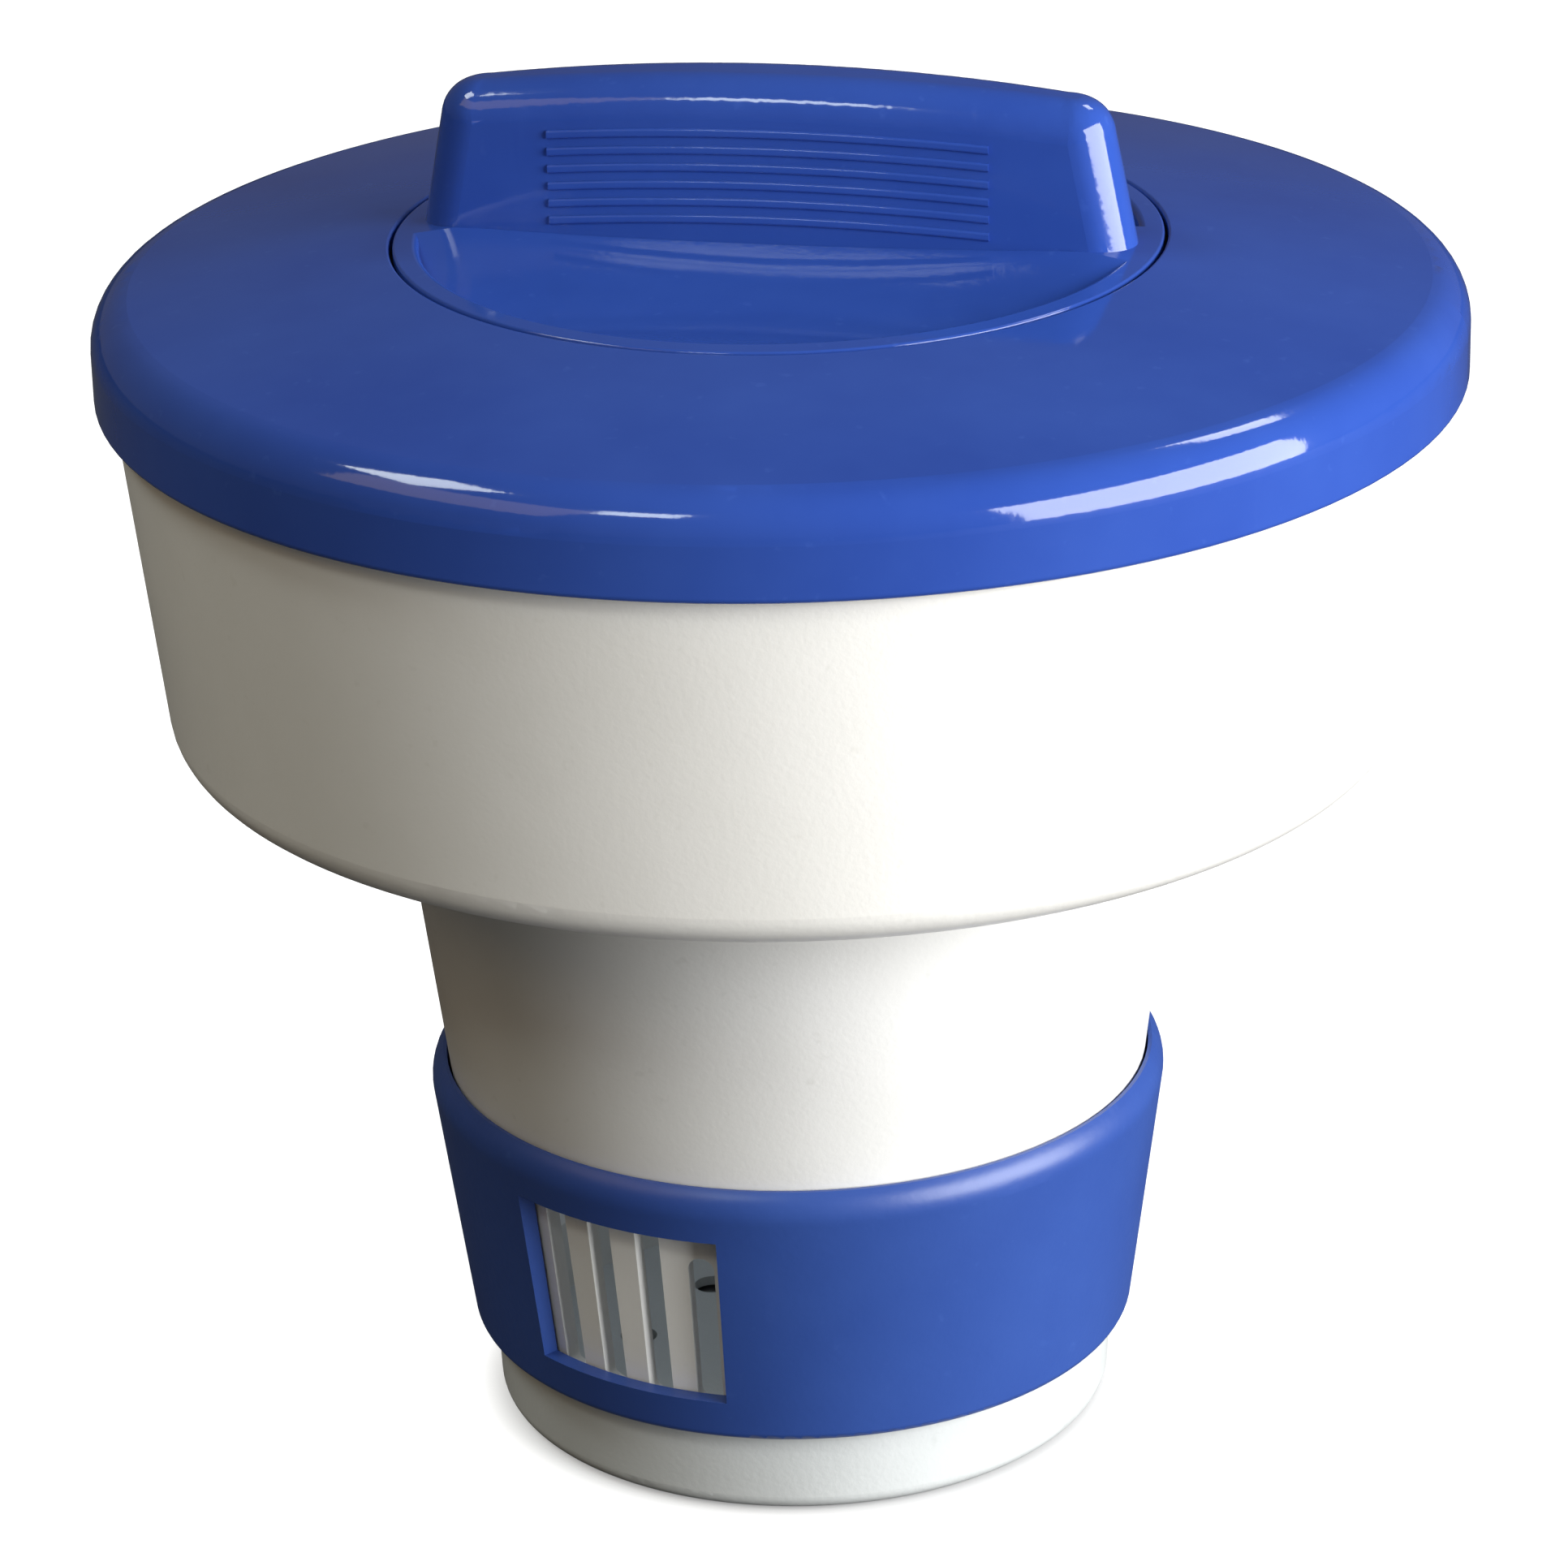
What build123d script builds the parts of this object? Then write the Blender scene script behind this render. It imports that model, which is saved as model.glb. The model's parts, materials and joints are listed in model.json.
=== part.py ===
from build123d import *
import math
import os

# Driving dimensions, in millimetres. Z is up and the foot stands on z = 0.
# Names that end in _Z are heights, names that end in _R are radii about the Z axis.
# Azimuths are in degrees and count from -Y towards +X.

# Tapered tablet canister.
CAN_R0 = 41.7
CAN_TAPER = 0.123
CAN_WALL = 2.2
CAN_SHOULDER_Z = 12.1
CAN_TOP_Z = 99.95
NECK_R = 41.0
NECK_BORE = 39.2
NECK_BOTTOM_Z = 2.4
NECK_STEP = 1.0
NECK_CONE = 5.0

# Fits shared by the pieces that snap together.
SNAP_Z = 7.0
SNAP_HEIGHT = 1.6
SNAP_DEPTH = 0.4
SNAP_FIT = 0.05

# Dosing slots in the canister and windows in the ring.
SLOT_WIDTH = 3.6
SLOT_PITCH = 9.25
SLOT_BOTTOM_Z = 16.2
SLOT_TOPS_Z = (46.5, 46.5, 44.6, 39.5)
GROUP_AZIMUTH = -18.7
WINDOW_AZIMUTH = -19.1
WINDOW_SPAN = 36.0
WINDOW_Z = (18.3, 43.6)

# Foot cap.
FOOT_R = 42.5
FOOT_TOP_R = 43.1
FOOT_RECESS = 1.0
FOOT_RIM_R = 36.5
FOOT_ROUND = 2.4
INLET_R = 2.6
INLET_ROW_R = 24.0
INLET_COUNT = 8

# Dosing ring.
RING_GAP = 0.35
RING_BOTTOM_Z = 12.5
RING_TOP_Z = 51.0
RING_BOTTOM_R = 45.75
RING_SHOULDER_R = 50.3
RING_SHOULDER_Z = 46.6
RING_LIP = 0.5
RING_BULGE = (0.35, 1.5)
RING_ROUND = 1.2

# Float bowl.
BOWL_WALL = 2.2
BOWL_FLOOR_Z = CAN_TOP_Z
BOWL_FLOOR_R = 82.4
BOWL_LAP_R = 87.6
BOWL_RIM_R = 87.4
BOWL_TOP_Z = 156.5
BOWL_CORNER_R = 5.4
RIM_SNAP_Z = 152.0
LAP_LEAD = 0.4
SEAL_HEIGHT = 1.8

# Tablet tube between canister and deck.
TUBE_R = 50.6
TUBE_BORE = 48.4
TUBE_TOP_Z = 155.2
TUBE_FLANGE_R = 57.0
TUBE_FLANGE = 2.2
TUBE_PLUG_Z = 91.0
TUBE_SNAP_Z = 93.2

# Deck: domed annulus with a lapped skirt and a threaded collar.
DECK_R = 90.0
DECK_SKIRT_Z = 148.1
DECK_EDGE_Z = 161.5
DECK_EDGE_R = 6.1
DECK_WALL = 2.2
DOME_ANGLE = 10.0
SKIRT_ROUND = 0.8
SEAT_R = 50.75
SEAT_Z = 159.2
SEAM_ROUND = 0.35
COLLAR_BORE = 46.0
COLLAR_R = 48.3
COLLAR_BOTTOM_Z = 138.0

# Twist cap: plate, hollow plug, finger scoops and hollow fin.
CAP_R = 50.3
CAP_FLANGE_Z = 161.3
CAP_UNDERSIDE_Z = 161.0
CAP_SEAL_CORD = 1.5
CAP_SEAL_R = 47.6
PLUG_R = 43.2
PLUG_BORE = 41.0
PLUG_BOTTOM_Z = 143.5
SCOOP_R = 47.8
SCOOP_ARC = ((-6.0, 167.0), (-23.5, 163.5), (-48.5, 165.6))
SCOOP_LIP = 1.0
FIN_FOOT_Z = 162.0
FIN_TOP_Z = 188.1
FIN_HALF_LENGTH = 48.2
FIN_DRAFT = 0.194
FIN_SIDE = 7.0
FIN_CORNER = 5.8
FIN_NOSE = 5.45
FIN_CROWN_R = 340.0
FIN_EDGE_R = 5.0
FIN_WALL = 2.4
RIB_COUNT = 6
RIB_PITCH = 2.3
RIB_TOP_Z = 181.4
RIB_HALF_LENGTH = 29.0
RIB_HEIGHT = 1.1
RIB_PROUD = 0.4
RIB_ROUND = 0.3

# Four-start thread: lugs in the deck's collar and ridges on the cap's plug.
THREAD_STARTS = 4
THREAD_LEAD = 24.0
THREAD_HEIGHT = 2.0
THREAD_DEPTH = 2.1
THREAD_TIP = 0.7
RIDGE_SPAN = 60.0
RIDGE_Z = 150.0
LUG_SPAN = 30.0
LUG_Z = 152.4
TOOTH_SINK = 0.3

# Longer than the whole part: how far a cutting tool reaches.
REACH = 200.0
# Two circles closer than this are the same edge.
SAME = 0.01


def taper_r(z):
    """Outer radius of the canister at height z."""
    return CAN_R0 + CAN_TAPER * z


def can_bore(z):
    """Inner radius of the canister at height z."""
    return taper_r(z) - CAN_WALL


def dome_sphere():
    """Centre height and radius of the sphere that meets the deck's rolled edge smoothly."""
    roll_centre_r = DECK_R - DECK_EDGE_R
    angle = math.radians(DOME_ANGLE)
    centre_z = DECK_EDGE_Z - DECK_EDGE_R - roll_centre_r / math.tan(angle)
    return centre_z, roll_centre_r / math.sin(angle) + DECK_EDGE_R


def dome_z(r):
    """Height of the domed top at radius r."""
    centre_z, radius = dome_sphere()
    return centre_z + math.sqrt(radius ** 2 - r ** 2)


def turned(*edges):
    """Solid of revolution about Z from a closed half section drawn as (r, z)."""
    return revolve(Plane.XZ * make_face(list(edges)), Axis.Z)


def turned_polygon(points):
    return turned(Polyline(*points, close=True))


def rounded(part, r, z, radius):
    """Round the circular edge of a turned part nearest to radius r and height z."""
    circles = part.edges().filter_by(GeomType.CIRCLE)
    near = min(math.hypot(c.radius - r, c.arc_center.Z - z) for c in circles)
    picked = [c for c in circles if math.hypot(c.radius - r, c.arc_center.Z - z) < near + SAME]
    return fillet(picked, radius)


def wedge(azimuth, span, z0, z1):
    """Sector under 90 degrees that covers the given azimuths, counted from -Y, between two heights."""
    points = [(0.0, 0.0)]
    for side in (-0.5, 0.5):
        angle = math.radians(azimuth + span * side)
        points.append((REACH * math.sin(angle), -REACH * math.cos(angle)))
    face = make_face(Polyline(*points, close=True))
    return Pos(0, 0, z0) * extrude(face, z1 - z0)


def slot_azimuths():
    """Azimuths of one group of slots, left to right."""
    middle = (len(SLOT_TOPS_Z) - 1) / 2.0
    return [GROUP_AZIMUTH + SLOT_PITCH * (i - middle) for i in range(len(SLOT_TOPS_Z))]


def slot_cutter(azimuth, top_z):
    """Radial slot with a round top and a round bottom."""
    height = top_z - SLOT_BOTTOM_Z
    outline = Rot(0, 0, 90) * SlotOverall(height, SLOT_WIDTH)
    bar = extrude(Plane.XZ * outline, REACH)
    return Rot(0, 0, azimuth) * Pos(0, 0, SLOT_BOTTOM_Z + height / 2.0) * bar


def make_canister():
    cone_z = CAN_SHOULDER_Z + NECK_CONE
    tube = turned_polygon([
        (NECK_BORE, NECK_BOTTOM_Z),
        (NECK_R, NECK_BOTTOM_Z),
        (NECK_R, SNAP_Z),
        (NECK_R + SNAP_DEPTH, SNAP_Z + SNAP_HEIGHT / 2.0),
        (NECK_R, SNAP_Z + SNAP_HEIGHT),
        (NECK_R, CAN_SHOULDER_Z),
        (taper_r(CAN_SHOULDER_Z), CAN_SHOULDER_Z),
        (taper_r(CAN_TOP_Z), CAN_TOP_Z),
        (can_bore(CAN_TOP_Z), CAN_TOP_Z),
        (can_bore(TUBE_SNAP_Z + SNAP_HEIGHT), TUBE_SNAP_Z + SNAP_HEIGHT),
        (can_bore(TUBE_SNAP_Z) + SNAP_DEPTH, TUBE_SNAP_Z + SNAP_HEIGHT / 2.0),
        (can_bore(TUBE_SNAP_Z), TUBE_SNAP_Z),
        (can_bore(cone_z), cone_z),
        (NECK_BORE, CAN_SHOULDER_Z + NECK_STEP),
    ])
    for half_turn in (0.0, 180.0):
        for azimuth, top_z in zip(slot_azimuths(), SLOT_TOPS_Z):
            tube -= slot_cutter(azimuth + half_turn, top_z)
    return tube


def make_foot_cap():
    bore = NECK_R + SNAP_FIT
    cup = turned_polygon([
        (0.0, FOOT_RECESS),
        (FOOT_RIM_R, FOOT_RECESS),
        (FOOT_RIM_R + FOOT_RECESS, 0.0),
        (FOOT_R, 0.0),
        (FOOT_TOP_R, CAN_SHOULDER_Z),
        (bore, CAN_SHOULDER_Z),
        (bore, SNAP_Z + SNAP_HEIGHT),
        (bore + SNAP_DEPTH, SNAP_Z + SNAP_HEIGHT / 2.0),
        (bore, SNAP_Z),
        (bore, NECK_BOTTOM_Z),
        (0.0, NECK_BOTTOM_Z),
    ])
    cup = rounded(cup, FOOT_R, 0.0, FOOT_ROUND)
    cup -= Cylinder(INLET_R, REACH)
    return cup - PolarLocations(INLET_ROW_R, INLET_COUNT) * Cylinder(INLET_R, REACH)


def make_dosing_ring():
    bottom_bore = taper_r(RING_BOTTOM_Z) + RING_GAP
    top_bore = taper_r(RING_TOP_Z) + RING_GAP
    lip_r = top_bore + RING_LIP
    ring = turned(
        Line((bottom_bore, RING_BOTTOM_Z), (RING_BOTTOM_R, RING_BOTTOM_Z)),
        Line((RING_BOTTOM_R, RING_BOTTOM_Z), (RING_SHOULDER_R, RING_SHOULDER_Z)),
        ThreePointArc(
            (RING_SHOULDER_R, RING_SHOULDER_Z),
            (RING_SHOULDER_R - RING_BULGE[0], RING_TOP_Z - RING_BULGE[1]),
            (lip_r, RING_TOP_Z),
        ),
        Line((lip_r, RING_TOP_Z), (top_bore, RING_TOP_Z)),
        Line((top_bore, RING_TOP_Z), (bottom_bore, RING_BOTTOM_Z)),
    )
    ring = rounded(ring, RING_BOTTOM_R, RING_BOTTOM_Z, RING_ROUND)
    low, high = WINDOW_Z
    for half_turn in (0.0, 180.0):
        ring -= wedge(WINDOW_AZIMUTH + half_turn, WINDOW_SPAN, low, high)
    return ring


def make_float_bowl():
    inner_floor = BOWL_FLOOR_Z + BOWL_WALL
    hole_r = can_bore(CAN_TOP_Z)
    shell = turned_polygon([
        (hole_r, BOWL_FLOOR_Z),
        (BOWL_FLOOR_R, BOWL_FLOOR_Z),
        (BOWL_LAP_R, DECK_SKIRT_Z),
        (BOWL_RIM_R, DECK_SKIRT_Z + LAP_LEAD),
        (BOWL_RIM_R, RIM_SNAP_Z),
        (BOWL_RIM_R + SNAP_DEPTH, RIM_SNAP_Z + SNAP_HEIGHT / 2.0),
        (BOWL_RIM_R, RIM_SNAP_Z + SNAP_HEIGHT),
        (BOWL_RIM_R, BOWL_TOP_Z),
        (BOWL_RIM_R - BOWL_WALL, BOWL_TOP_Z),
        (BOWL_LAP_R - BOWL_WALL, DECK_SKIRT_Z),
        (BOWL_FLOOR_R - BOWL_WALL, inner_floor),
        (hole_r, inner_floor),
    ])
    shell = rounded(shell, BOWL_FLOOR_R, BOWL_FLOOR_Z, BOWL_CORNER_R)
    return rounded(shell, BOWL_FLOOR_R - BOWL_WALL, inner_floor, BOWL_CORNER_R - BOWL_WALL)


def make_tablet_tube():
    flange_z = BOWL_FLOOR_Z + BOWL_WALL + SEAL_HEIGHT
    throat_r = can_bore(CAN_TOP_Z)
    return turned_polygon([
        (TUBE_BORE, TUBE_PLUG_Z),
        (can_bore(TUBE_PLUG_Z), TUBE_PLUG_Z),
        (can_bore(TUBE_SNAP_Z), TUBE_SNAP_Z),
        (can_bore(TUBE_SNAP_Z) + SNAP_DEPTH, TUBE_SNAP_Z + SNAP_HEIGHT / 2.0),
        (can_bore(TUBE_SNAP_Z + SNAP_HEIGHT), TUBE_SNAP_Z + SNAP_HEIGHT),
        (throat_r, CAN_TOP_Z),
        (throat_r, flange_z),
        (TUBE_FLANGE_R, flange_z),
        (TUBE_FLANGE_R, flange_z + TUBE_FLANGE),
        (TUBE_R, flange_z + TUBE_FLANGE),
        (TUBE_R, TUBE_TOP_Z),
        (TUBE_BORE, TUBE_TOP_Z),
    ])


def square_seal(inner_r, outer_r, z):
    """Flat gasket ring of the shared seal height."""
    return turned_polygon([
        (inner_r, z),
        (outer_r, z),
        (outer_r, z + SEAL_HEIGHT),
        (inner_r, z + SEAL_HEIGHT),
    ])


def make_bowl_seal():
    return square_seal(can_bore(CAN_TOP_Z), TUBE_FLANGE_R - 1.0, BOWL_FLOOR_Z + BOWL_WALL)


def make_tube_seal():
    return square_seal(TUBE_BORE, TUBE_R, TUBE_TOP_Z)


def make_rim_gasket():
    return square_seal(BOWL_RIM_R - BOWL_WALL, BOWL_RIM_R, BOWL_TOP_Z)


def make_cap_seal():
    middle_z = (SEAT_Z + CAP_FLANGE_Z) / 2.0
    return Pos(0, 0, middle_z) * Torus(CAP_SEAL_R, CAP_SEAL_CORD / 2.0)


def thread_tooth(root_r, tip_r, span, z):
    """One helical tooth, centred on the +X azimuth and rising anticlockwise."""
    rise = THREAD_LEAD * span / 360.0
    path = Helix(THREAD_LEAD, rise, root_r)
    half = THREAD_HEIGHT / 2.0
    outline = Polyline(
        (root_r, -half),
        (tip_r, -half * THREAD_TIP),
        (tip_r, half * THREAD_TIP),
        (root_r, half),
        close=True,
    )
    tooth = sweep(Plane.XZ * make_face(outline), path=path, normal=(0, 0, 1))
    return Rot(0, 0, -span / 2.0) * Pos(0, 0, z - rise / 2.0) * tooth


def with_teeth(part, root_r, tip_r, span, z):
    for start in range(THREAD_STARTS):
        part += Rot(0, 0, 360.0 * start / THREAD_STARTS) * thread_tooth(root_r, tip_r, span, z)
    return part


def make_deck():
    roll_centre = (DECK_R - DECK_EDGE_R, DECK_EDGE_Z - DECK_EDGE_R)
    dome_edge_r = roll_centre[0] + DECK_EDGE_R * math.sin(math.radians(DOME_ANGLE))
    middle_r = (dome_edge_r + SEAT_R) / 2.0
    roll = DECK_EDGE_R * math.sqrt(0.5)
    ledge_z = TUBE_TOP_Z + SEAL_HEIGHT
    rim_z = BOWL_TOP_Z + SEAL_HEIGHT
    skirt_r = BOWL_RIM_R + SNAP_FIT
    seal_r = TUBE_R + SNAP_DEPTH
    land_r = BOWL_RIM_R - BOWL_WALL - SNAP_DEPTH
    under = [(r, dome_z(r) - DECK_WALL) for r in (seal_r + 1.0, middle_r, land_r - 1.0)]
    inside = [
        (SEAT_R, dome_z(SEAT_R)),
        (SEAT_R, SEAT_Z),
        (COLLAR_BORE, SEAT_Z),
        (COLLAR_BORE, COLLAR_BOTTOM_Z),
        (COLLAR_R, COLLAR_BOTTOM_Z),
        (COLLAR_R, ledge_z),
        (seal_r, ledge_z),
        *under,
        (land_r, rim_z),
        (skirt_r, rim_z),
        (skirt_r, RIM_SNAP_Z + SNAP_HEIGHT),
        (skirt_r + SNAP_DEPTH, RIM_SNAP_Z + SNAP_HEIGHT / 2.0),
        (skirt_r, RIM_SNAP_Z),
        (skirt_r, DECK_SKIRT_Z + 2.0 * LAP_LEAD),
        (skirt_r + LAP_LEAD, DECK_SKIRT_Z),
        (DECK_R, DECK_SKIRT_Z),
        (DECK_R, roll_centre[1]),
    ]
    deck = turned(
        Polyline(*inside),
        ThreePointArc(
            (DECK_R, roll_centre[1]),
            (roll_centre[0] + roll, roll_centre[1] + roll),
            (dome_edge_r, dome_z(dome_edge_r)),
        ),
        ThreePointArc(
            (dome_edge_r, dome_z(dome_edge_r)),
            (middle_r, dome_z(middle_r)),
            (SEAT_R, dome_z(SEAT_R)),
        ),
    )
    deck = rounded(deck, SEAT_R, dome_z(SEAT_R), SEAM_ROUND)
    deck = rounded(deck, DECK_R, DECK_SKIRT_Z, SKIRT_ROUND)
    return with_teeth(deck, COLLAR_BORE + TOOTH_SINK, COLLAR_BORE - THREAD_DEPTH, LUG_SPAN, LUG_Z)


def scoop_cutter():
    """Trough along the fin inside a round wall with a rounded lip."""
    start, middle, end = SCOOP_ARC
    high_z = FIN_TOP_Z
    outline = make_face([
        ThreePointArc(start, middle, end),
        Polyline(end, (end[0], high_z), (start[0], high_z), start),
    ])
    trough = extrude(Plane.YZ * outline, REACH, both=True)
    lip_z = dome_z(SCOOP_R)
    sink = SCOOP_LIP * (1.0 - math.sqrt(0.5))
    wall = turned(
        Polyline(
            (SCOOP_R, lip_z),
            (SCOOP_R, high_z),
            (0.0, high_z),
            (0.0, CAP_UNDERSIDE_Z),
            (SCOOP_R - SCOOP_LIP, CAP_UNDERSIDE_Z),
            (SCOOP_R - SCOOP_LIP, lip_z - SCOOP_LIP),
        ),
        ThreePointArc(
            (SCOOP_R - SCOOP_LIP, lip_z - SCOOP_LIP),
            (SCOOP_R - SCOOP_LIP + sink, lip_z - sink),
            (SCOOP_R, lip_z),
        ),
    )
    return trough & wall


def make_cap_plate():
    """Round domed plate with a hollow plug below and a finger scoop each side of the fin."""
    middle_r = CAP_R / 2.0
    plate = turned(
        Polyline(
            (0.0, CAP_UNDERSIDE_Z),
            (PLUG_BORE, CAP_UNDERSIDE_Z),
            (PLUG_BORE, PLUG_BOTTOM_Z),
            (PLUG_R, PLUG_BOTTOM_Z),
            (PLUG_R, CAP_FLANGE_Z),
            (CAP_R, CAP_FLANGE_Z),
            (CAP_R, dome_z(CAP_R)),
        ),
        ThreePointArc((CAP_R, dome_z(CAP_R)), (middle_r, dome_z(middle_r)), (0.0, dome_z(0.0))),
        Line((0.0, dome_z(0.0)), (0.0, CAP_UNDERSIDE_Z)),
    )
    plate = rounded(plate, CAP_R, dome_z(CAP_R), SEAM_ROUND)
    cutter = scoop_cutter()
    plate -= cutter
    return plate - Rot(0, 0, 180) * cutter


def fin_plan(z, inset):
    """Fin outline at height z: bowed sides and round ends, drawn in by inset."""
    nose = FIN_HALF_LENGTH - FIN_DRAFT * (z - FIN_FOOT_Z) - inset
    corner = nose - FIN_NOSE + inset
    side = FIN_SIDE - inset
    edge = FIN_CORNER - inset
    outline = make_face([
        ThreePointArc((-corner, edge), (0.0, side), (corner, edge)),
        ThreePointArc((corner, edge), (nose, 0.0), (corner, -edge)),
        ThreePointArc((corner, -edge), (0.0, -side), (-corner, -edge)),
        ThreePointArc((-corner, -edge), (-nose, 0.0), (-corner, edge)),
    ])
    return Pos(0, 0, z) * outline


def fin_block(foot_z, top_z, inset):
    """Fin with drafted ends and a crowned top."""
    block = loft([fin_plan(foot_z, inset), fin_plan(FIN_TOP_Z + FIN_NOSE, inset)], ruled=True)
    return block & under_crown(top_z)


def under_crown(top_z):
    """Everything below the fin's crown when its highest line is at top_z."""
    return Pos(0, 0, top_z - FIN_CROWN_R) * Rot(90, 0, 0) * Cylinder(FIN_CROWN_R, REACH)


def make_fin():
    fin = fin_block(FIN_FOOT_Z, FIN_TOP_Z, 0.0)
    top_edges = [e for e in fin.edges() if e.center().Z > FIN_TOP_Z - FIN_NOSE and e.length > FIN_SIDE]
    return fillet(top_edges, FIN_EDGE_R)


def fin_hollow():
    """Space inside the fin, open into the plug."""
    hollow = fin_block(CAP_UNDERSIDE_Z - FIN_WALL, FIN_TOP_Z - FIN_WALL, FIN_WALL)
    return hollow & Cylinder(PLUG_BORE, 2.0 * FIN_TOP_Z)


def grip_rib(z):
    """Slim rib on each side of the fin, parallel to its bowed side and to its crown."""
    band = under_crown(z + RIB_HEIGHT / 2.0) - under_crown(z - RIB_HEIGHT / 2.0)
    middle = Box(2.0 * RIB_HALF_LENGTH, REACH, 2.0 * REACH)
    rib = fin_block(FIN_FOOT_Z, FIN_TOP_Z, -RIB_PROUD) & band & middle
    return fillet([e for e in rib.edges() if e.length > RIB_HALF_LENGTH], RIB_ROUND)


def make_cap():
    fin = make_fin()
    for index in range(RIB_COUNT):
        fin += grip_rib(RIB_TOP_Z - RIB_PITCH * index)
    cap = make_cap_plate() + fin - fin_hollow()
    return with_teeth(cap, PLUG_R - TOOTH_SINK, PLUG_R + THREAD_DEPTH, RIDGE_SPAN, RIDGE_Z)


PIECES = {
    "canister": make_canister,
    "foot_cap": make_foot_cap,
    "dosing_ring": make_dosing_ring,
    "float_bowl": make_float_bowl,
    "bowl_seal": make_bowl_seal,
    "tablet_tube": make_tablet_tube,
    "tube_seal": make_tube_seal,
    "rim_gasket": make_rim_gasket,
    "deck": make_deck,
    "cap_seal": make_cap_seal,
    "cap": make_cap,
}

os.makedirs("parts", exist_ok=True)
for name, make in PIECES.items():
    export_step(make(), f"parts/{name}.step")
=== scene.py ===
import json
import math

import bpy
from mathutils import Matrix, Vector


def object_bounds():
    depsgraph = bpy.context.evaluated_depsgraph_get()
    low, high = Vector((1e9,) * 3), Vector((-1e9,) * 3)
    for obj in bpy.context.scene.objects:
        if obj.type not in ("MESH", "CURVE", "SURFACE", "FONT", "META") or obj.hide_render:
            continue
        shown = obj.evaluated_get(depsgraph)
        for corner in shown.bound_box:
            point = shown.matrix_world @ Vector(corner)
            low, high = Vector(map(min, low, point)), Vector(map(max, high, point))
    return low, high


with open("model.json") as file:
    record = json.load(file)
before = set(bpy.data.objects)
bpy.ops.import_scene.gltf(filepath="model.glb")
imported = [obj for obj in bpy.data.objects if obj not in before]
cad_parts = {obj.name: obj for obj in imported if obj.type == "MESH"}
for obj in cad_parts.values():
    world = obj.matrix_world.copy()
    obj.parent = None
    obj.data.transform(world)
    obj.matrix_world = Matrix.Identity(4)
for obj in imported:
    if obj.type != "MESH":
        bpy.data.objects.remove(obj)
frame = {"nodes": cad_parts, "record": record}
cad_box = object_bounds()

scene = bpy.context.scene
centre = Vector([(low + high) / 2.0 for low, high in zip(*cad_box)])
top_z = cad_box[1][2]

# Camera, at the photograph's viewing angle. Its target height is a share of the object's height.
CAMERA_AZIMUTH = 12.0
CAMERA_ELEVATION = 22.39
CAMERA_ROLL = -1.36
CAMERA_DISTANCE = 0.7917
CAMERA_LENS = 134.2
CAMERA_SENSOR = 36.0
CAMERA_SHIFT = (-0.0047, 0.0005)
TARGET_HEIGHT = 0.4701

# The room's own dim, warm light and the white backdrop that the camera sees instead of it.
ROOM_TINT = (1.0, 0.9, 0.78, 1.0)
ROOM_LIGHT = 0.1
BACKDROP = (1.0, 1.0, 1.0, 1.0)

# Paper floor: half its width and its gap below the foot in metres, how it glows for the camera,
# and the dark grey that the object sees instead, so that little light comes up at it.
FLOOR_HALF = 3.0
FLOOR_DROP = 0.0002
FLOOR_GLOW = 0.92
FLOOR_BOUNCE = (0.05, 0.05, 0.05, 1.0)
FLOOR_ROUGHNESS = 0.9
# The glow fades out under the foot, between these distances from the axis, which are measured on
# positions without their height.
FOOT_SHADE = (0.038, 0.046)
WITHOUT_HEIGHT = (1.0, 1.0, 0.0)

# Softboxes: azimuth from the camera and elevation in degrees, distance and size in metres, watts, tint.
LIGHTS = {
    "window": (63.0, 13.0, 1.6, (1.6, 1.2), 75.0, (0.98, 0.99, 1.0)),
    "ceiling_left": (-90.0, 56.0, 1.5, (0.4, 0.37), 5.2, (0.93, 1.0, 0.99)),
    "ceiling_front": (-27.0, 46.5, 1.5, (0.29, 0.2), 2.4, (0.9, 1.0, 1.0)),
    "room_left": (-62.0, 40.0, 2.0, (1.4, 0.7), 4.4, (1.0, 0.73, 0.4)),
    "room_back": (135.0, 50.0, 2.0, (0.45, 0.3), 4.0, (0.95, 0.98, 1.0)),
    # Light that soaks through the white walls into the canister.
    "inside": (0.0, 90.0, 0.03, (0.05, 0.05), 0.012, (0.8, 0.9, 1.0)),
}

# Each noise below is a scale, detail and roughness, and each span is the stretch of its values over
# which its mark sets in.
PAPER_NOISE = (3.0, 2.0, 0.5)
PAPER_SPAN = (0.3, 0.7)

# Moulded plastic. The scale of its orange peel is each plastic's own.
CLOUD_NOISE = (22.0, 4.0, 0.6)
CLOUD_SPAN = (0.35, 0.7)
SPECK_NOISE = (420.0, 2.0, 0.5)
SPECK_SPAN = (0.68, 0.78)
SPECK_STRENGTH = 0.3
SCUFF_NOISE = (140.0, 5.0, 0.7)
SCUFF_STRETCH = (1.0, 1.0, 0.12)
SCUFF_SPAN = (0.62, 0.72)
SCUFF_STRENGTH = 0.25
SCUFF_ROUGHENS = 0.5
FLOW_NOISE = (9.0, 2.0, 0.5)
FLOW_STRETCH = (1.0, 1.0, 5.0)
FLOW_SPAN = (0.4, 0.95)
PEEL_DETAIL = 2.0
PEEL_ROUGHNESS = 0.5
PEEL_DEPTH = 0.0002
SINK_NOISE = (60.0, 1.0, 0.5)
SINK_DEPTH = 0.0006
SINK_STRENGTH = 0.12
PLASTIC_IOR = 1.49

# Seal rubber.
BLOOM_NOISE = (90.0, 4.0, 0.65)
BLOOM_SPAN = (0.45, 0.75)
RUBBER_ROUGHNESS = (0.5, 0.8)
GRAIN_NOISE = (700.0, 3.0, 0.5)
GRAIN_DEPTH = 0.0002
GRAIN_STRENGTH = 0.3
RUBBER_IOR = 1.5


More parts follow.
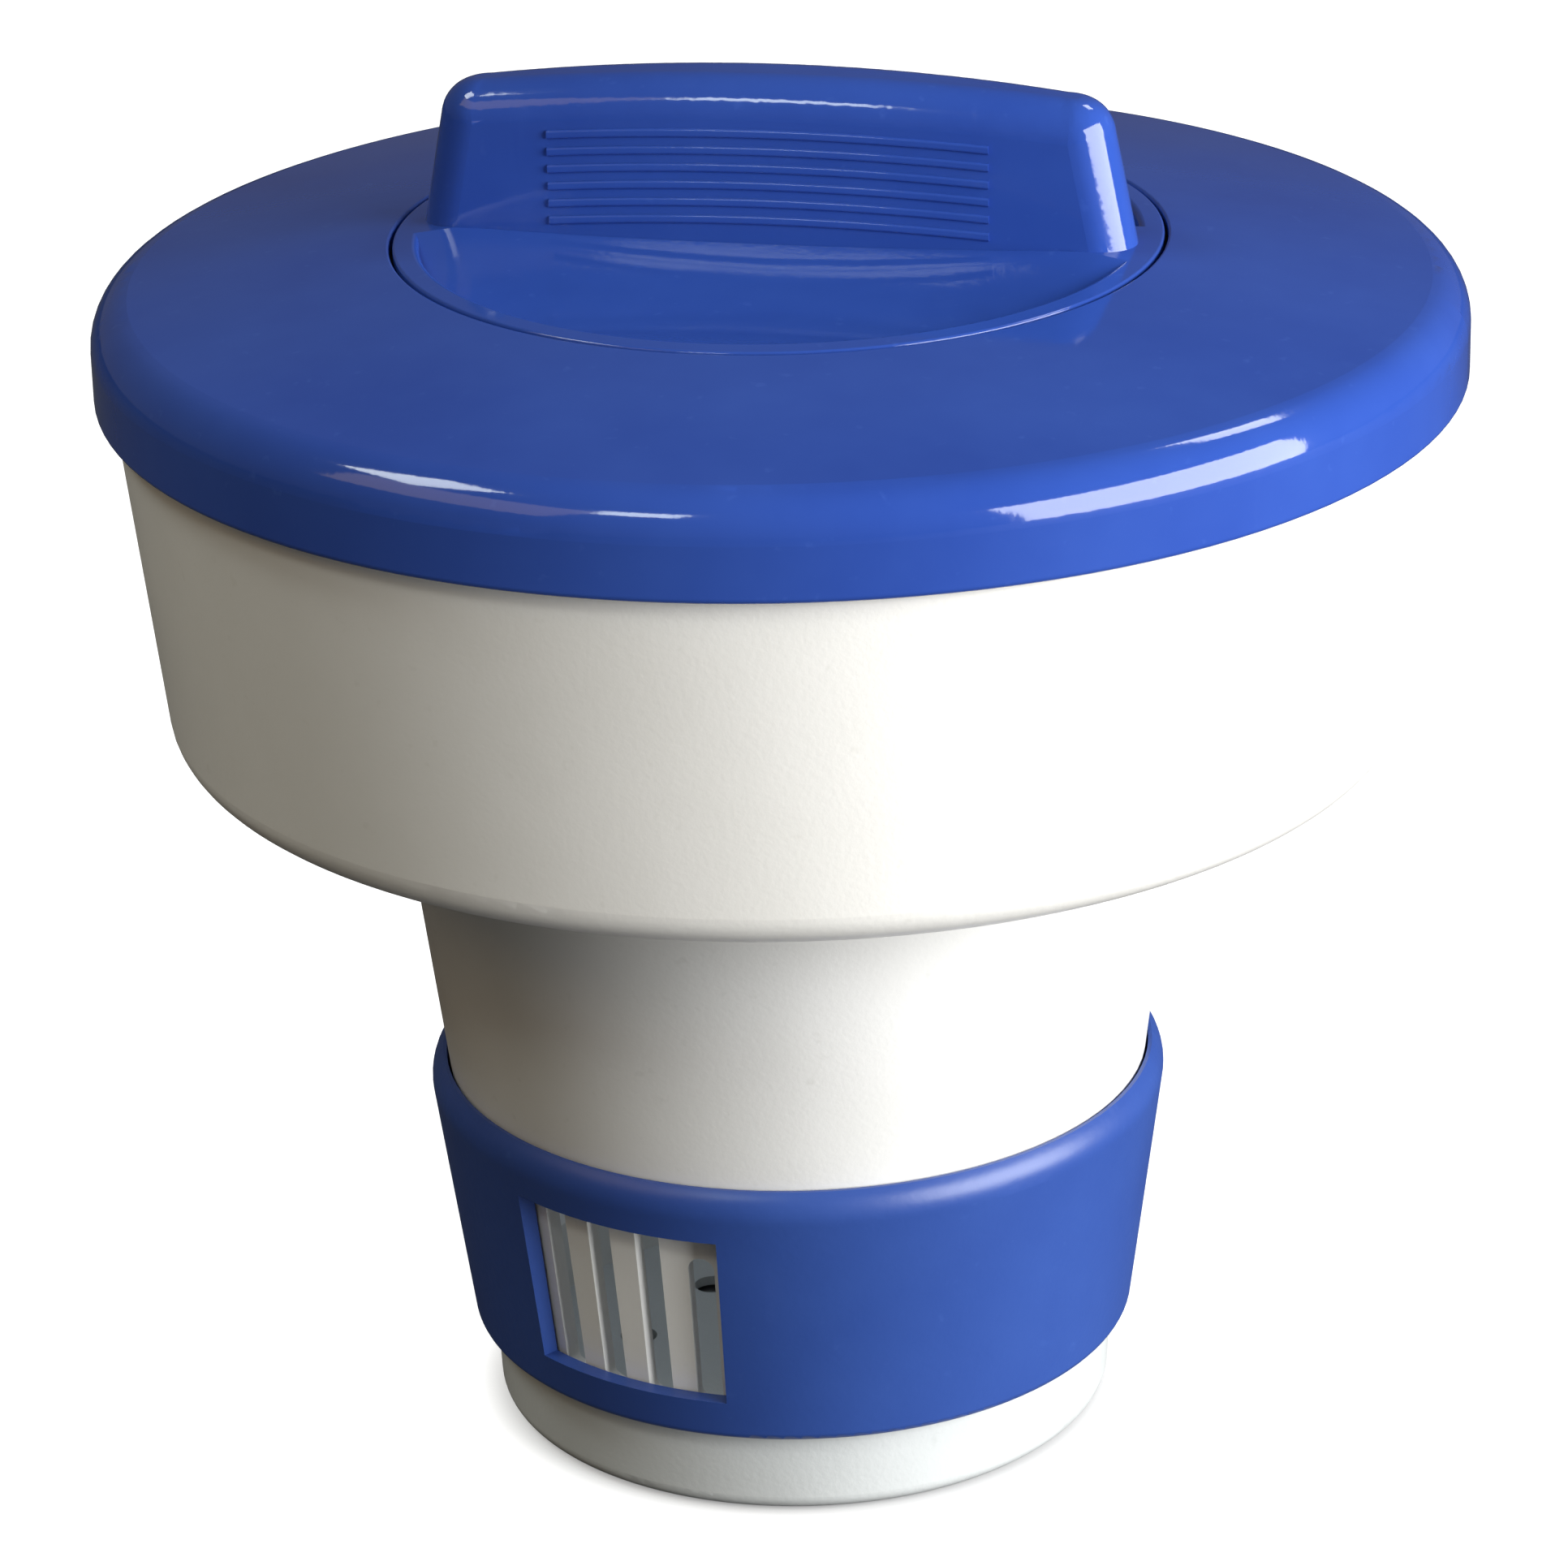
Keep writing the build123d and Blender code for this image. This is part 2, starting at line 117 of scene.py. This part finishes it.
class Nodes:
    """Short calls for building one material's node tree."""

    def __init__(self, name):
        self.material = bpy.data.materials.new(name)
        self.material.use_nodes = True
        self.tree = self.material.node_tree
        self.shader = self.tree.nodes["Principled BSDF"]
        self.position = self.add("ShaderNodeTexCoord").outputs["Object"]

    def add(self, kind, **values):
        node = self.tree.nodes.new(kind)
        for key, value in values.items():
            setattr(node, key, value)
        return node

    def link(self, source, target):
        self.tree.links.new(source, target)

    def stretched(self, scale):
        """Object position, scaled on each axis."""
        mapping = self.add("ShaderNodeMapping")
        mapping.inputs["Scale"].default_value = scale
        self.link(self.position, mapping.inputs["Vector"])
        return mapping.outputs["Vector"]

    def noise(self, scale, detail, roughness, vector=None):
        """Noise over vector, or else over the object position."""
        node = self.add("ShaderNodeTexNoise")
        node.inputs["Scale"].default_value = scale
        node.inputs["Detail"].default_value = detail
        node.inputs["Roughness"].default_value = roughness
        self.link(vector or self.position, node.inputs["Vector"])
        return node.outputs["Fac"]

    def ramp(self, value, low, high, to_low=0.0, to_high=1.0):
        """The socket value, mapped from low..high to to_low..to_high and clamped."""
        node = self.add("ShaderNodeMapRange")
        node.inputs["From Min"].default_value = low
        node.inputs["From Max"].default_value = high
        node.inputs["To Min"].default_value = to_low
        node.inputs["To Max"].default_value = to_high
        self.link(value, node.inputs["Value"])
        return node.outputs["Result"]

    def mixed(self, amount, first, second):
        """Colour mix of two colours or sockets."""
        node = self.add("ShaderNodeMix", data_type="RGBA")
        self.link(amount, node.inputs["Factor"])
        for socket, value in ((node.inputs["A"], first), (node.inputs["B"], second)):
            if isinstance(value, tuple):
                socket.default_value = value
            else:
                self.link(value, socket)
        return node.outputs["Result"]

    def math(self, operation, first, second):
        """Sum, product or the like of two numbers or sockets."""
        node = self.add("ShaderNodeMath", operation=operation)
        for socket, value in zip(node.inputs, (first, second)):
            if isinstance(value, float):
                socket.default_value = value
            else:
                self.link(value, socket)
        return node.outputs["Value"]

    def bump(self, height, strength, distance, normal=None):
        """Normal bent by height, on top of another normal if there is one."""
        node = self.add("ShaderNodeBump")
        node.inputs["Strength"].default_value = strength
        node.inputs["Distance"].default_value = distance
        self.link(height, node.inputs["Height"])
        if normal:
            self.link(normal, node.inputs["Normal"])
        return node.outputs["Normal"]


def colour(red, green, blue):
    """Linear colour from 8-bit sRGB."""
    def channel(value):
        value /= 255.0
        return value / 12.92 if value <= 0.04045 else ((value + 0.055) / 1.055) ** 2.4
    return (channel(red), channel(green), channel(blue), 1.0)


PAPER_LIGHT = colour(180, 180, 180)
PAPER_DARK = colour(176, 176, 176)
RUBBER_BLACK = colour(24, 24, 25)
RUBBER_CHALK = colour(58, 58, 60)
# Base, faded and grimy colours of each plastic.
BLUE = (colour(41, 71, 154), colour(49, 80, 163), colour(62, 94, 176))
RING_BLUE = (colour(41, 69, 140), colour(48, 77, 148), colour(60, 90, 160))
WHITE = (colour(240, 238, 233), colour(234, 232, 226), colour(222, 219, 211))
# The canister's whites are darker than the bowl's: painted shade for the shadow that the float bowl
# casts on it.
CANISTER_WHITE_PAINTED_SHADE = (colour(229, 228, 225), colour(222, 221, 217), colour(204, 203, 198))
# The foot's whites are darker still: painted shade for the dim light low down near the floor.
FOOT_WHITE_PAINTED_SHADE = (colour(209, 212, 211), colour(201, 204, 203), colour(182, 185, 183))

# Plastics for a CAD node or a material slot: name, colours, the least and most roughness, and the
# scale and strength of the orange peel.
PLASTICS = {
    "blue_plastic": ("blue_gloss", BLUE, (0.07, 0.12), (900.0, 0.05)),
    "dosing_ring": ("blue_satin", RING_BLUE, (0.34, 0.42), (900.0, 0.12)),
    # The canister's finish paints in shade with its darker whites.
    "canister": ("canister_white_painted_shade", CANISTER_WHITE_PAINTED_SHADE, (0.32, 0.42), (1100.0, 0.14)),
    # The foot cap's finish paints in shade with its darker whites.
    "foot_cap": ("foot_white_painted_shade", FOOT_WHITE_PAINTED_SHADE, (0.34, 0.46), (1100.0, 0.18)),
    "white_plastic": ("white_satin", WHITE, (0.3, 0.4), (1100.0, 0.14)),
}


def moulded_plastic(name, colours, roughness, peel):
    """Moulded plastic: cloudy pigment, specks, hairline scuffs, flow marks, orange peel and sinks."""
    base, faded, grime = colours
    peel_scale, peel_strength = peel
    nodes = Nodes(name)
    inputs = nodes.shader.inputs
    cloud = nodes.ramp(nodes.noise(*CLOUD_NOISE), *CLOUD_SPAN)
    pigment = nodes.mixed(cloud, base, faded)
    speck = nodes.ramp(nodes.noise(*SPECK_NOISE), *SPECK_SPAN, 0.0, SPECK_STRENGTH)
    pigment = nodes.mixed(speck, pigment, grime)
    hairlines = nodes.noise(*SCUFF_NOISE, nodes.stretched(SCUFF_STRETCH))
    scuff = nodes.ramp(hairlines, *SCUFF_SPAN, 0.0, SCUFF_STRENGTH)
    nodes.link(nodes.mixed(scuff, pigment, faded), inputs["Base Color"])
    streaks = nodes.noise(*FLOW_NOISE, nodes.stretched(FLOW_STRETCH))
    flow = nodes.ramp(streaks, *FLOW_SPAN, *roughness)
    scuffed = nodes.math("MULTIPLY", scuff, SCUFF_ROUGHENS)
    nodes.link(nodes.math("ADD", flow, scuffed), inputs["Roughness"])
    orange_peel = nodes.noise(peel_scale, PEEL_DETAIL, PEEL_ROUGHNESS)
    skin = nodes.bump(orange_peel, peel_strength, PEEL_DEPTH)
    sunk = nodes.bump(nodes.noise(*SINK_NOISE), SINK_STRENGTH, SINK_DEPTH, skin)
    nodes.link(sunk, inputs["Normal"])
    inputs["IOR"].default_value = PLASTIC_IOR
    return nodes.material


def seal_rubber(name):
    """Dark moulded rubber with a chalky bloom."""
    nodes = Nodes(name)
    inputs = nodes.shader.inputs
    bloom = nodes.ramp(nodes.noise(*BLOOM_NOISE), *BLOOM_SPAN)
    nodes.link(nodes.mixed(bloom, RUBBER_BLACK, RUBBER_CHALK), inputs["Base Color"])
    nodes.link(nodes.ramp(bloom, 0.0, 1.0, *RUBBER_ROUGHNESS), inputs["Roughness"])
    grain = nodes.noise(*GRAIN_NOISE)
    nodes.link(nodes.bump(grain, GRAIN_STRENGTH, GRAIN_DEPTH), inputs["Normal"])
    inputs["IOR"].default_value = RUBBER_IOR
    return nodes.material


def seen_or_felt(tree, seen, felt, surface):
    """Use the shader seen for what the camera sees directly and felt for every other ray."""
    choice = tree.nodes.new("ShaderNodeMixShader")
    rays = tree.nodes.new("ShaderNodeLightPath")
    share, felt_input, seen_input = choice.inputs
    tree.links.new(rays.outputs["Is Camera Ray"], share)
    tree.links.new(felt, felt_input)
    tree.links.new(seen, seen_input)
    tree.links.new(choice.outputs["Shader"], surface)


def paper_floor(name):
    """Back-lit white paper that throws little light up at the object."""
    nodes = Nodes(name)
    shade = nodes.ramp(nodes.noise(*PAPER_NOISE), *PAPER_SPAN)
    paper = nodes.add("ShaderNodeBsdfDiffuse")
    nodes.link(nodes.mixed(shade, PAPER_LIGHT, PAPER_DARK), paper.inputs["Color"])
    across = nodes.add("ShaderNodeVectorMath", operation="LENGTH")
    nodes.link(nodes.stretched(WITHOUT_HEIGHT), across.inputs["Vector"])
    glow = nodes.add("ShaderNodeEmission")
    strength = nodes.ramp(across.outputs["Value"], *FOOT_SHADE, 0.0, FLOOR_GLOW)
    nodes.link(strength, glow.inputs["Strength"])
    lit = nodes.add("ShaderNodeAddShader")
    for source, target in zip((paper.outputs["BSDF"], glow.outputs["Emission"]), lit.inputs):
        nodes.link(source, target)
    nodes.shader.inputs["Base Color"].default_value = FLOOR_BOUNCE
    nodes.shader.inputs["Roughness"].default_value = FLOOR_ROUGHNESS
    surface = nodes.tree.nodes["Material Output"].inputs["Surface"]
    seen_or_felt(nodes.tree, lit.outputs["Shader"], nodes.shader.outputs["BSDF"], surface)
    return nodes.material


def dress(finishes):
    """Give each CAD node the finish of its own name, or else of its material slot."""
    slots = {row["node"]: row["material_slot"] for row in frame["record"]["subparts"]}
    for name, node in frame["nodes"].items():
        node.data.materials.clear()
        node.data.materials.append(finishes.get(name) or finishes[slots[name]])


def make_floor():
    """Square of paper just below the foot."""
    mesh = bpy.data.meshes.new("floor")
    turns = ((-1, -1), (1, -1), (1, 1), (-1, 1))
    corners = [(x * FLOOR_HALF, y * FLOOR_HALF, 0.0) for x, y in turns]
    mesh.from_pydata(corners, [], [(0, 1, 2, 3)])
    mesh.materials.append(paper_floor("floor_paper"))
    floor = bpy.data.objects.new("floor", mesh)
    floor.location.z = cad_box[0][2] - FLOOR_DROP
    scene.collection.objects.link(floor)


def direction(azimuth, elevation):
    """Unit vector towards a place seen at this azimuth and elevation from the object."""
    turn = math.radians(azimuth)
    rise = math.radians(elevation)
    level = math.cos(rise)
    return Vector((math.sin(turn) * level, -math.cos(turn) * level, math.sin(rise)))


def facing(spot, target, roll=0.0):
    """Matrix of a camera or light at spot that looks at target."""
    turn = (target - spot).to_track_quat("-Z", "Y").to_matrix().to_4x4()
    return Matrix.Translation(spot) @ turn @ Matrix.Rotation(math.radians(roll), 4, "Z")


def softbox(name, azimuth, elevation, distance, size, watts, tint):
    """Rectangular area light that faces the middle of the object."""
    light = bpy.data.lights.new(name, "AREA")
    light.shape = "RECTANGLE"
    light.size, light.size_y = size
    light.energy = watts
    light.color = tint
    lamp = bpy.data.objects.new(name, light)
    spot = centre + distance * direction(CAMERA_AZIMUTH + azimuth, elevation)
    lamp.matrix_world = facing(spot, centre)
    scene.collection.objects.link(lamp)


def make_camera():
    data = bpy.data.cameras.new("camera")
    data.lens = CAMERA_LENS
    data.sensor_width = CAMERA_SENSOR
    data.shift_x, data.shift_y = CAMERA_SHIFT
    camera = bpy.data.objects.new("camera", data)
    target = Vector((0.0, 0.0, TARGET_HEIGHT * top_z))
    spot = target + CAMERA_DISTANCE * direction(CAMERA_AZIMUTH, CAMERA_ELEVATION)
    camera.matrix_world = facing(spot, target, CAMERA_ROLL)
    scene.collection.objects.link(camera)
    scene.camera = camera


def make_world():
    """Dim warm room that lights the object, behind a white backdrop for the camera."""
    world = bpy.data.worlds.new("studio")
    world.use_nodes = True
    tree = world.node_tree
    room = tree.nodes["Background"]
    room.inputs["Color"].default_value = ROOM_TINT
    room.inputs["Strength"].default_value = ROOM_LIGHT
    backdrop = tree.nodes.new("ShaderNodeBackground")
    backdrop.inputs["Color"].default_value = BACKDROP
    surface = tree.nodes["World Output"].inputs["Surface"]
    seen_or_felt(tree, backdrop.outputs["Background"], room.outputs["Background"], surface)
    scene.world = world


make_camera()
make_world()
make_floor()
for name, settings in LIGHTS.items():
    softbox(name, *settings)
finishes = {place: moulded_plastic(*settings) for place, settings in PLASTICS.items()}
finishes["seal_rubber"] = seal_rubber("seal_rubber")
dress(finishes)
scene.view_settings.view_transform = "Standard"
